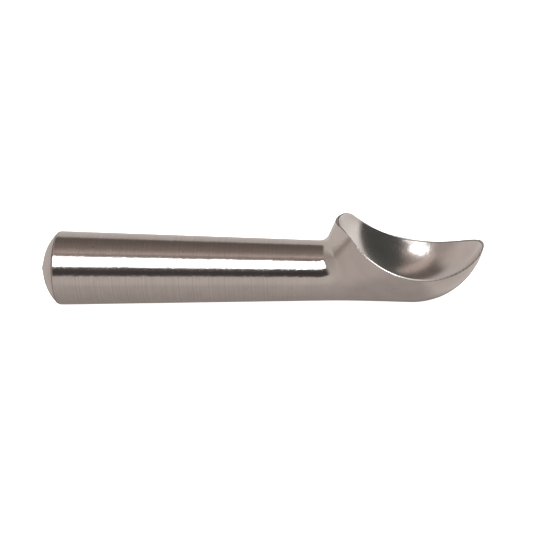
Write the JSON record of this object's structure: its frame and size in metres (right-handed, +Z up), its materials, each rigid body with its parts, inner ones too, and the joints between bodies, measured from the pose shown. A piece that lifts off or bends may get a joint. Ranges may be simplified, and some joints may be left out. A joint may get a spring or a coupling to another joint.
{
  "type": "ice cream dipper",
  "caption": "One-piece cast aluminium ice cream dipper with a round bowl and a hollow, tapering, liquid-filled grip closed by a pressed domed cap.",
  "frame": {"origin": "under the middle of the overall length, on the surface the dipper lies on", "axes": "+X along the grip towards the bowl's tip, +Y across, +Z up, the way the bowl opens"},
  "size_m": [0.1784, 0.0524, 0.0331],
  "materials": {
    "cast_aluminium": "cast, then polished bright",
    "cap_aluminium": "turned and polished",
    "plug_aluminium": "turned",
    "seal_rubber": "moulded",
    "liquid_charge": "clear liquid"
  },
  "bodies": {
    "root": {"scoop_body": "cast_aluminium", "end_cap": "cap_aluminium", "fill_plug": "plug_aluminium", "cap_seal_ring": "seal_rubber", "heat_fluid": "liquid_charge"}
  },
  "joints": []
}
